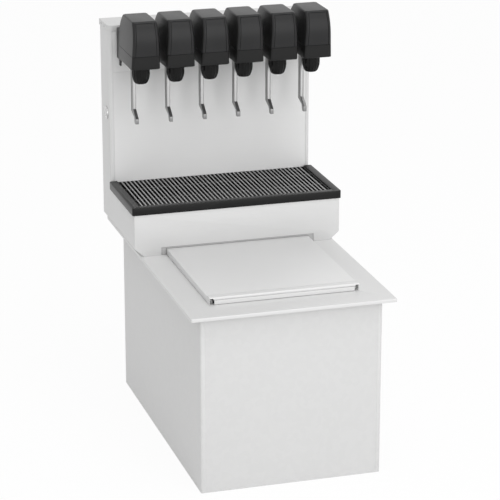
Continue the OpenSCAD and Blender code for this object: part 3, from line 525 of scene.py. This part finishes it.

# Console and tower panels. Stainless sheets brushed along their length: the front over the lid,
# one sheet for each side, the back, and the two behind the valves. Those two are painted a little
# lighter to offset the shade the valves cast on them. The front steel, also on the back and the
# cap, is painted a little darker to offset the strong front light.

# Painted light: the front steel is darker against the front lamp, the splash steel lighter against
# the valves' shade.
front_steel = drawn_steel("brushed_front", (0.665, 0.665, 0.663), panel_rough, 0, panel_metal)
splash_painted_light_steel = drawn_steel("brushed_splash_painted_light", (0.75, 0.75, 0.748), panel_rough, 0, panel_metal)
side_steel = drawn_steel("brushed_side", panel_tone, panel_rough, 2, panel_metal)
sheet_corner = 0.004
for node, name, material in (("console_front", "console_sheet", front_steel),
                             ("side_panel_left", "side_sheet_left", side_steel),
                             ("side_panel_right", "side_sheet_right", side_steel),
                             ("back_panel", "back_sheet", front_steel),
                             ("splash_panel", "splash_sheet", splash_painted_light_steel),
                             ("valve_panel", "valve_sheet", splash_painted_light_steel)):
    bm = merged(node)
    eased(bm, sheet_edge, 2, longer(sheet_corner))
    fitted(finished(bm, name), material, "brushed_stainless", "cabinet", node)

# that falls into the notch.
# Lid guide. A plastic strip behind the console's notch, painted light grey to stand for the light
# lid and beside it, so that nothing splashes into the bin, and the lid slides through it.

# Painted light: the strip's light grey stands for light falling into the notch.
painted_light_guide = moulded("lid_guide_painted_light", (0.42, 0.42, 0.42), (0.46, 0.46, 0.46),
                        0.5, 900, 0.00002, 0.25)
lid_half, lid_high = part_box("lid")[1].x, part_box("lid")[1].z
notch_side, notch_h = 0.015, 0.0225
notch_half, notch_top = lid_half + notch_side, deck_z + notch_h
guide_lap, guide_clear, guide_t, guide_edge = 0.003, 0.0005, 0.003, 0.0003
guide_set = 0.0016
guide_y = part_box("console_front")[0].y + guide_set
guide_foot, guide_top = deck_z + 0.0002, notch_top + guide_lap
outer_x, lid_x = notch_half + guide_lap, lid_half + guide_clear
bm = bmesh.new()
for x0, x1, z0 in ((-outer_x, -lid_x, guide_foot), (lid_x, outer_x, guide_foot),
                   (-lid_x, lid_x, lid_high + guide_clear)):
    join(bm, pulled(oblong(guide_y, guide_y + guide_t, z0, guide_top), x0, x1))
rounded(bm, bm.edges[:], guide_edge, 2)
fitted(finished(bm, "lid_guide"), painted_light_guide, "liner_plastic", "cabinet")

# Tower cap. A stainless lid folded down over the panels. Two button-head screws with a small
# socket hold it at each side.

low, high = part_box("tower_cap")
cap_fold = 0.0011
bm = merged("tower_cap")
eased(bm, cap_fold, 4, above(high.z - 1e-5))
eased(bm, sheet_edge, 2, longer(sheet_corner))
fitted(finished(bm, "cap_sheet"), front_steel, "brushed_stainless", "cabinet", "tower_cap")

screw_steel = drawn_steel("screw_steel", (0.55, 0.55, 0.55), 0.25, 0)
# The head's profile is (radius, height), from the floor of the socket round to the shank's end.
head_r, head_h = 0.004, 0.0018
head = [(0.0004, 0.0004), (0.0016, 0.0004), (0.00175, 0.0013), (0.0026, 0.00125),
        (0.0034, 0.0009), (0.0039, 0.0004), (head_r, 0.0), (head_r - 0.0004, -0.0003),
        (0.002, -0.0003), (0.002, -0.006)]
low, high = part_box("cap_screws")
for side, name in ((-1, "cap_screws_left"), (1, "cap_screws_right")):
    bm = turned(head, 24, closed=False)
    spun(bm, side * math.pi / 2, "Y")
    screws = finished(bm, name, smooth=50)
    repeated(screws, 2, screw_steel,
             start=(side * (high.x - head_h), low.y + head_r, (low.z + high.z) / 2),
             step=(0, high.y - low.y - 2 * head_r, 0))
    fitted(screws, screw_steel, "screw_steel", "cabinet", "cap_screws")

# Key switch. A plated bezel in the left side panel with a turning barrel and its key slot. It
# locks the valves off.

plated = drawn_steel("plated_zinc", (0.56, 0.56, 0.56), 0.22, 2)
face_t, face_edge = 0.0005, 0.0006
for node, name, body in (("key_bezel", "switch_bezel", "cabinet"),
                         ("key_barrel", "switch_barrel", "key_barrel")):
    low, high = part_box(node)
    bm = merged(node)
    eased(bm, face_edge, 3, lambda e: max(v.co.x for v in e.verts) < low.x + face_t)
    fitted(finished(bm, name), plated, "plated_lock", body, node)

# Drip tray. Moulded in black ABS with a rim that hides the console's top edge, and a basin that
# falls to a drain. Its edges are softly rounded, and the rim is low at the back, under the rest.

tray_plastic = moulded("tray_abs", (0.006, 0.006, 0.006), (0.009, 0.009, 0.009),
                       0.34, 900, 0.00003, 0.22)
low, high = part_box("drip_tray")
rest_low, rest_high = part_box("cup_rest")
ramp_w, rim_w = 0.0008, 0.007
rear_y, low_rim_z = rest_high.y - 0.0005, rest_low.z - 0.0001
rim_r, tray_edge, tray_corner = 0.0016, 0.0006, 0.01
bm = merged("drip_tray")
for x in (-rest_high.x, ramp_w - rest_high.x, rest_high.x - ramp_w, rest_high.x):
    bmesh.ops.bisect_plane(bm, geom=bm.verts[:] + bm.edges[:] + bm.faces[:],
                           plane_co=(x, 0, 0), plane_no=(1, 0, 0))
for v in bm.verts:
    if abs(v.co.x) < rest_high.x - ramp_w / 2 and v.co.y > rear_y and v.co.z > rest_low.z:
        v.co.z = low_rim_z
eased(bm, rim_r, 4, level(high.z), lambda e: max(abs(v.co.x) for v in e.verts) > high.x - rim_w
      or min(v.co.y for v in e.verts) < low.y + rim_w
      or max(v.co.y for v in e.verts) > high.y - rim_w)
eased(bm, tray_edge, 2, longer(tray_corner))
fitted(finished(bm, "tray_moulding"), tray_plastic, "tray_plastic", "drip_tray", "drip_tray")

# Cup rest. A loose grid of round-topped bars in a black frame, with two black cross bars
# beneath. The bars are painted light grey, a painted highlight for their rounded tops. It lies on
# the tray's ledge, cups stand on it, and spills run through.

# Painted highlight: the bars' light grey stands for the light along their rounded tops.
rest_plastic = moulded("cup_bars_painted_highlight", (0.40, 0.40, 0.40), (0.44, 0.44, 0.44),
                       0.3, 900, 0.00002)
frame_plastic = moulded("cup_rest_frame", (0.012, 0.012, 0.012), (0.016, 0.016, 0.016),
                        0.35, 900, 0.00002, 0.3)
rest_y1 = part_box("drip_tray")[1].y - 0.0008
low, high = rest_low, Vector((rest_high.x, rest_y1, rest_high.z))
bar_count, bar_pitch = 46, 0.0116
bar_w, bar_t, bar_lap = 0.0038, 0.0026, 0.0005
bar_foot, bar_z = bar_w / 2 - 0.0003, high.z - bar_t
frame_w, frame_edge = 0.0035, 0.0008
bar = (arc(0, high.z - bar_w / 2, bar_w / 2, 20, 160, 8)
       + [(-bar_foot, bar_z), (bar_foot, bar_z)])
bm = pulled(bar, 0, high.y - low.y - frame_w + 0.0002)
spun(bm, math.pi / 2, "Z")
bars = finished(bm, "rest_bars", smooth=45)
repeated(bars, bar_count, rest_plastic,
         start=(-(bar_count - 1) / 2 * bar_pitch, low.y + frame_w - bar_lap, 0),
         step=(bar_pitch, 0, 0))
fitted(bars, rest_plastic, "cup_rest_plastic", "cup_rest")

bm = bmesh.new()
loops = []
for inset in (0.0, frame_w):
    for z in (low.z, high.z - 0.0006):
        x, y0, y1 = high.x - inset, low.y + inset, high.y - inset
        loops.append([bm.verts.new(p) for p in ((-x, y0, z), (x, y0, z), (x, y1, z), (-x, y1, z))])
for a, b in ((0, 1), (1, 3), (3, 2), (2, 0)):
    for j in range(4):
        i = (j + 1) % 4
        bm.faces.new((loops[a][j], loops[a][i], loops[b][i], loops[b][j]))
bmesh.ops.recalc_face_normals(bm, faces=bm.faces[:])
rounded(bm, bm.edges[:], frame_edge, 3)
cross_w = 0.004
cross_x, cross_top = high.x - frame_w + bar_lap, bar_z + 0.0004
for part in (0.3, 0.7):
    y = low.y + part * (high.y - low.y)
    cross_bar = oblong(y - cross_w / 2, y + cross_w / 2, low.z, cross_top)
    join(bm, pulled(cross_bar, -cross_x, cross_x))
fitted(finished(bm, "rest_frame"), frame_plastic, "cup_rest_plastic", "cup_rest", "cup_rest")

# Drain cup. A grey PVC funnel under the tray's spigot, with a pipe that runs back and down
# through the deck.

dressed("drain_cup", grey_plastic)

# Mounting blocks. Black moulded blocks that carry the valves on the tower and bring them their
# syrup and soda water. Each has a small release hook under its left side.

valves = range(1, 7)
block_edge, block_corner = 0.001, 0.009
block_plastic = moulded("block_nylon", (0.012, 0.012, 0.012), (0.018, 0.018, 0.018),
                        0.45, 800, 0.00005)
for i in valves:
    bm = merged(f"valve_block_{i}")
    eased(bm, block_edge, 2, longer(block_corner))
    fitted(finished(bm, f"block_moulding_{i}"), block_plastic, "block_plastic", "cabinet",
           f"valve_block_{i}")

# Valve bodies. The lower half of each valve is a black moulding with rounded corners. It has a
# spigot for the nozzle, and two ears that hold the lever's pin.

low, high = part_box("valve_cover_1")
body_h, valve_h, valve_l = 0.036, 0.129, 0.163
valve_z = low.z - body_h
valve_back = high.y
valve_front = valve_back - valve_l
pivot_y, pivot_z = valve_back - 0.010, -0.010
nozzle_y = valve_front + 0.067
half_foot, half_taper = 0.0395, 0.006
corner_r, corner_steps = 0.0075, 6


def place_of(i):
    """The middle of a valve, at the height of its underside."""
    low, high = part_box(f"valve_cover_{i}")
    return (low.x + high.x) / 2, 0.0, valve_z


def half_width(z):
    """Half a valve's width at a height, which narrows a little to the top."""
    return half_foot - half_taper * z / valve_h


def smooth_line(points, at):
    """A smooth line through a few points, read at one place."""
    n = len(points) - 1
    k = max(0, min(n - 1, sum(1 for p in points[1:-1] if at > p[0])))
    slope = [(points[min(n, j + 1)][1] - points[max(0, j - 1)][1])
             / (points[min(n, j + 1)][0] - points[max(0, j - 1)][0]) for j in range(n + 1)]
    (x0, v0), (x1, v1) = points[k], points[k + 1]
    h = x1 - x0
    t = (at - x0) / h
    return (v0 * (1 + 2 * t) * (1 - t) ** 2 + h * slope[k] * t * (1 - t) ** 2
            + v1 * t * t * (3 - 2 * t) + h * slope[k + 1] * t * t * (t - 1))


def valve_ring(z, front, back, half, radius, columns=()):
    """One level of a valve's wall: a rectangle with round corners. Its front can have columns,
    each at an X and so far sunk."""
    ring = []
    for cx, cy, first in ((1, 1, 0), (-1, 1, 90), (-1, -1, 180), (1, -1, 270)):
        x = cx * (half - radius)
        y = back - radius if cy > 0 else front + radius
        for k in range(corner_steps + 1):
            a = math.radians(first + 90 * k / corner_steps)
            ring.append((x + radius * math.cos(a), y + radius * math.sin(a), z))
        if first == 180:
            ring += [(column_x, front + sunk, z) for column_x, sunk in columns]
    return ring


def walled(rings, bottom=True):
    """A bmesh skin over a stack of rings, closed at the top."""
    bm = bmesh.new()
    rows = [[bm.verts.new(p) for p in ring] for ring in rings]
    n = len(rows[0])
    for a, b in zip(rows, rows[1:]):
        for j in range(n):
            i = (j + 1) % n
            bm.faces.new((a[j], a[i], b[i], b[j]))
    if bottom:
        bm.faces.new(rows[0][::-1])
    bm.faces.new(rows[-1])
    return bm


body_edge, body_edge_steps = 0.0016, 4
chin_set, chin_lean = 0.006, 0.003
ear_r, ear_top, ear_x0, ear_x1, ear_edge = 0.0056, 0.002, 0.0048, 0.0078, 0.0004
spigot_bore, spigot_r, spigot_foot, spigot_top = 0.0072, 0.0208, -0.012, 0.001


def body_rings():
    """The levels of a valve's body: the rounded foot, the wall and a small step at the top."""
    levels = []
    for k in range(body_edge_steps + 1):
        a = math.radians(90 * k / body_edge_steps)
        levels.append((body_edge * (1 - math.cos(a)), body_edge * (1 - math.sin(a))))
    levels += [(0.010, 0), (0.020, 0), (0.030, 0), (0.0352, 0), (0.0356, 0.0004), (0.0357, 0.0009)]
    return [valve_ring(z, valve_front + chin_set - chin_lean * z / body_h + inset,
                       valve_back - inset, half_width(z) - inset, corner_r) for z, inset in levels]


def valve_body_mesh():
    bm = walled(body_rings())
    ear = ([(pivot_y + ear_r, ear_top), (pivot_y - ear_r, ear_top)]
           + arc(pivot_y, pivot_z, ear_r, 180, 360, 14))
    for x0, x1 in ((ear_x0, ear_x1), (-ear_x1, -ear_x0)):
        lug = pulled(ear, x0, x1)
        eased(lug, ear_edge, 2)
        join(bm, lug)
    spigot = turned([(spigot_bore, spigot_foot), (spigot_r, spigot_foot), (spigot_r, spigot_top),
                     (spigot_bore, spigot_top)], 48)
    bmesh.ops.translate(spigot, verts=spigot.verts[:], vec=(0, nozzle_y, 0))
    join(bm, spigot)
    return bm


def at_each_valve(make, name, node, body, material, slot, smooth=38):
    """Sets one like piece at every valve, whose number fills the braces in the names."""
    pieces = []
    for i in valves:
        bm = make()
        bmesh.ops.translate(bm, verts=bm.verts[:], vec=place_of(i))
        piece = finished(bm, f"{name}_{i}", smooth)
        pieces.append(fitted(piece, material, slot, body.format(i), node.format(i)))
    return pieces


# Painted shade: the body's plastic is a darker copy of the covers', for the shade on its
# down-facing lower front.
shaded_body_plastic = moulded("body_abs_painted_shade", (0.008, 0.008, 0.008), (0.010, 0.010, 0.010),
                       0.36, 1100, 0.00004, 0.24)
at_each_valve(valve_body_mesh, "body_moulding", "valve_body_{}", "cabinet", shaded_body_plastic,
              "valve_plastic")

# Valve covers. Black ABS shells with a satin moulded texture. The front is a slightly sunk panel
# inside a fine groove, its side edges are rounded, and the back falls away to the block.

# How far the front and the back stand in from the valve's ends: (height, distance).
front_line = [(0.036, 0.003), (0.07785, 0.0002), (0.10575, 0.005), (0.129, 0.016)]
back_line = [(0.036, 0.0), (0.07785, 0.0), (0.10575, 0.012), (0.129, 0.036)]
groove_w, groove_d, groove_in, panel_d = 0.0014, 0.0018, 0.0003, 0.0003
cover_wall = 0.0022
panel_top = 0.1248
edge_r, edge_steps = 0.0034, 5
cover_plastic = moulded("cover_abs", (0.016, 0.016, 0.0165), (0.020, 0.020, 0.0205),
                        0.38, 1100, 0.00004, 0.23)


def front_sink(x, z, panel):
    """How deep the front lies at a place: flush, down in the groove or on the panel."""
    out = max(abs(x) - panel, z - (panel_top - groove_w))
    if out > groove_w - 1e-6:
        return 0.0
    return groove_d if out > groove_w / 2 - 1e-6 else panel_d


def valve_cover_mesh():
    heights = [0.0366, 0.041, 0.048, 0.056, 0.064, 0.071, 0.078, 0.084, 0.090, 0.096, 0.101, 0.106,
               0.111, 0.116, 0.120, panel_top - groove_w, panel_top - groove_w / 2, panel_top,
               valve_h - edge_r]
    levels = [(0.0363, 0.0004)] + [(z, 0.0) for z in heights]
    for k in range(1, edge_steps + 1):
        a = math.radians(90 * k / edge_steps)
        levels.append((valve_h - edge_r * (1 - math.sin(a)), edge_r * (1 - math.cos(a))))
    rings = []
    for z, inset in levels:
        panel = half_width(min(z, panel_top)) - inset - corner_r - groove_w - groove_in
        right = [panel, panel + groove_w / 2, panel + groove_w]
        columns = [-x for x in right[::-1]] + [panel * k / 4 for k in range(-3, 4)] + right
        sinks = [front_sink(x, z, panel) for x in columns]
        rings.append(valve_ring(z, valve_front + smooth_line(front_line, z) + inset,
                                valve_back - max(0.0, smooth_line(back_line, z)) - inset,
                                half_width(z) - inset, corner_r, zip(columns, sinks)))
    return walled(rings, bottom=False)


for cover in at_each_valve(valve_cover_mesh, "cover_moulding", "valve_cover_{}", "cabinet",
                           cover_plastic, "valve_plastic", smooth=32):
    wall = cover.modifiers.new("wall", "SOLIDIFY")
    wall.thickness = cover_wall
    wall.offset = -1

# Nozzles. Black glossy mouldings that twist on to the valves. Fine ribs run down the cone for a
# grip, painted greyer than the cone as a painted highlight along them, and the mouth is rounded. A
# white diffuser hangs inside each.

nozzle_plastic = moulded("nozzle_plastic", (0.004, 0.004, 0.004), (0.007, 0.007, 0.007),
                         0.22, 900, 0.00002, 0.16)
# Painted highlight: the ribs' lighter grey stands for the light that catches them.
rib_highlight_plastic = moulded("nozzle_ribs_worn", (0.026, 0.026, 0.026), (0.046, 0.046, 0.046),
                      0.35, 900, 0.00002, 0.3)
rib_count, rib_w = 16, 0.0016
nozzle_h, drawn_h = 0.0504, 0.0484

# Both profiles are (radius, height), drawn for drawn_h: the line of the ribs, and the shell.
cone = [(0.0245, -0.0097), (0.0244, -0.0250), (0.0236, -0.0307), (0.0220, -0.0365),
        (0.0198, -0.0420), (0.0176, -0.0462)]
shell_profile = [(0.0240, -0.0003), (0.0245, -0.0008), (0.0245, -0.0090), (0.0240, -0.0097),
                 (0.0229, -0.0100), (0.0229, -0.0170), (0.0228, -0.0250), (0.0221, -0.0307),
                 (0.0206, -0.0365), (0.0185, -0.0420), (0.0164, -0.0462), (0.0160, -0.0472),
                 (0.0150, -0.0481), (0.0138, -0.0484), (0.0128, -0.0482), (0.0121, -0.0474),
                 (0.0150, -0.0420), (0.0180, -0.0365), (0.0200, -0.0300), (0.02088, -0.0240),
                 (0.02088, -0.0003)]


def rib_mesh():
    """One rib down the cone, thick enough at its root to sink into the wall."""
    bm = bmesh.new()
    rows = []
    section = ((0.0024, -1.5), (0.0004, -0.9), (0.0, -0.4),
               (0.0, 0.4), (0.0004, 0.9), (0.0024, 1.5))
    for radius, z in cone:
        w = rib_w * radius / cone[0][0]
        rows.append([bm.verts.new((radius - depth, w * across, z)) for depth, across in section])
    for a, b in zip(rows, rows[1:]):
        for j in range(len(section)):
            i = (j + 1) % len(section)
            bm.faces.new((a[j], a[i], b[i], b[j]))
    bm.faces.new(rows[0][::-1])
    bm.faces.new(rows[-1])
    bmesh.ops.recalc_face_normals(bm, faces=bm.faces[:])
    return bm


ribs = repeated(finished(rib_mesh(), "rib", smooth=50), rib_count, nozzle_plastic,
                turn=(0, 0, math.tau / rib_count))


def nozzle_mesh():
    """The shell with its ribs, which take the piece's second finish."""
    bm = turned(shell_profile, 72)
    smooth_faces = len(bm.faces)
    bm.from_mesh(ribs.data)
    bm.faces.ensure_lookup_table()
    for face in bm.faces[smooth_faces:]:
        face.material_index = 1
    bmesh.ops.scale(bm, verts=bm.verts[:], vec=(1, 1, nozzle_h / drawn_h))
    bmesh.ops.translate(bm, verts=bm.verts[:], vec=(0, nozzle_y, 0))
    return bm


for nozzle in at_each_valve(nozzle_mesh, "nozzle_moulding", "nozzle_{}", "nozzle_{}",
                            nozzle_plastic, "nozzle_plastic", smooth=40):
    nozzle.data.materials.append(rib_highlight_plastic)
bpy.data.objects.remove(ribs)
dressed("diffusers", moulded("diffuser_acetal", (0.78, 0.77, 0.72), (0.83, 0.82, 0.78),
                             0.35, 900, 0.00002))

# Cup levers. Each is a strip of polished stainless folded to a channel and kicked forward at its
# foot. A cup pushes it back, and it turns on a pin between the ears.

lever_steel = drawn_steel("polished_lever", (0.30, 0.30, 0.30), 0.30, 2, 0.85)
lever_edge, lever_corner = 0.0003, 0.002
for i in valves:
    bm = merged(f"lever_{i}")
    eased(bm, lever_edge, 2, longer(lever_corner), degrees=50)
    fitted(finished(bm, f"lever_strip_{i}"), lever_steel, "lever_steel", f"lever_{i}", f"lever_{i}")
dressed("lever_pins", screw_steel)

# Electrics. Two solenoids in each valve and the transformer that feeds them, all hidden behind
# covers and panels: a yellow zinc finish on the coils' frames, grey enamel on the transformer.


def zinc_plated():
    material, tree, shader = new_material("yellow_zinc", 0.35, metal=0.9)
    hue = speckle(tree, (60, 60, 60), 3.0)
    tree.links.new(two_tones(tree, hue, (0.50, 0.36, 0.12), (0.62, 0.48, 0.20)),
                   shader.inputs["Base Color"])
    tree.links.new(between(tree, hue, 0.28, 0.42), shader.inputs["Roughness"])
    return material


dressed("solenoids", zinc_plated())
dressed("transformer", moulded("grey_enamel", (0.055, 0.058, 0.062), (0.070, 0.073, 0.078),
                               0.4, 600, 0.00006))

# Studio. A white floor and a white surround, a large soft lamp from the front and a smaller one
# from above, which leave the left side darker. The camera stands where the photograph was taken.

surround_strength = 0.70
floor_tone, floor_glow = 0.95, 0.93
floor_r = 14.0


def white_surround():
    """White to look at, and a little dimmer as a light."""
    world = bpy.data.worlds.new("surround")
    bpy.context.scene.world = world
    world.use_nodes = True
    tree = world.node_tree
    lit = tree.nodes["Background"]
    lit.inputs["Color"].default_value = (1.0, 1.0, 1.0, 1.0)
    lit.inputs["Strength"].default_value = surround_strength
    seen = tree.nodes.new("ShaderNodeBackground")
    seen.inputs["Color"].default_value = (1.0, 1.0, 1.0, 1.0)
    tree.links.new(direct_rays(tree), mixed(tree, lit.outputs[0], seen.outputs[0]).inputs[0])


def direct_rays(tree):
    """1 for what the camera, a mirror or glass shows."""
    rays = tree.nodes.new("ShaderNodeLightPath")
    total = rays.outputs["Is Camera Ray"]
    for name in ("Is Glossy Ray", "Is Transmission Ray"):
        add = tree.nodes.new("ShaderNodeMath")
        add.use_clamp = True
        tree.links.new(total, add.inputs[0])
        tree.links.new(rays.outputs[name], add.inputs[1])
        total = add.outputs[0]
    return total


def mixed(tree, first, second):
    mix = tree.nodes.new("ShaderNodeMixShader")
    tree.links.new(first, mix.inputs[1])
    tree.links.new(second, mix.inputs[2])
    output = next(n for n in tree.nodes if n.type in ("OUTPUT_WORLD", "OUTPUT_MATERIAL"))
    tree.links.new(mix.outputs[0], output.inputs["Surface"])
    return mix


def white_floor():
    """A matt floor that is nearly all plain white where it is looked at."""
    material, tree, shader = new_material("studio_floor", 0.9, specular=0.0)
    shader.inputs["Base Color"].default_value = (floor_tone, floor_tone, floor_tone, 1.0)
    white = tree.nodes.new("ShaderNodeEmission")
    white.inputs["Strength"].default_value = 1.0
    mix = mixed(tree, shader.outputs[0], white.outputs[0])
    share = tree.nodes.new("ShaderNodeMath")
    share.operation = "MULTIPLY"
    share.inputs[1].default_value = floor_glow
    tree.links.new(direct_rays(tree), share.inputs[0])
    tree.links.new(share.outputs[0], mix.inputs[0])
    return material


white_surround()
bm = bmesh.new()
bmesh.ops.create_circle(bm, cap_ends=True, segments=96, radius=floor_r)
floor = finished(bm, "studio_floor")
floor.data.materials.append(white_floor())


def soft_lamp(name, place, target, size, power):
    data = bpy.data.lights.new(name, "AREA")
    data.shape = "DISK"
    data.size = size
    data.energy = power
    lamp = bpy.data.objects.new(name, data)
    lamp.location = place
    lamp.rotation_euler = (Vector(place) - Vector(target)).to_track_quat("Z", "Y").to_euler()
    bpy.context.scene.collection.objects.link(lamp)


soft_lamp("front_lamp", (0.9, -5.2, 1.9), (0, 0, 0.6), 4.5, 88.0)
soft_lamp("top_lamp", (0.4, -1.2, 4.0), (0, -0.1, 0.5), 2.5, 36.0)

azimuth, elevation = math.radians(-16.7), math.radians(18.3)
away = Vector((math.sin(azimuth) * math.cos(elevation), -math.cos(azimuth) * math.cos(elevation),
               math.sin(elevation)))
lens = bpy.data.cameras.new("camera")
lens.lens = 165.6
lens.sensor_width = 36.0
lens.clip_end = 60.0
camera = bpy.data.objects.new("camera", lens)
camera.location = (-1.6890, -5.6816, 2.4655)
camera.rotation_euler = away.to_track_quat("Z", "Y").to_euler()
bpy.context.scene.collection.objects.link(camera)
bpy.context.scene.camera = camera
bpy.context.scene.view_settings.view_transform = "Standard"
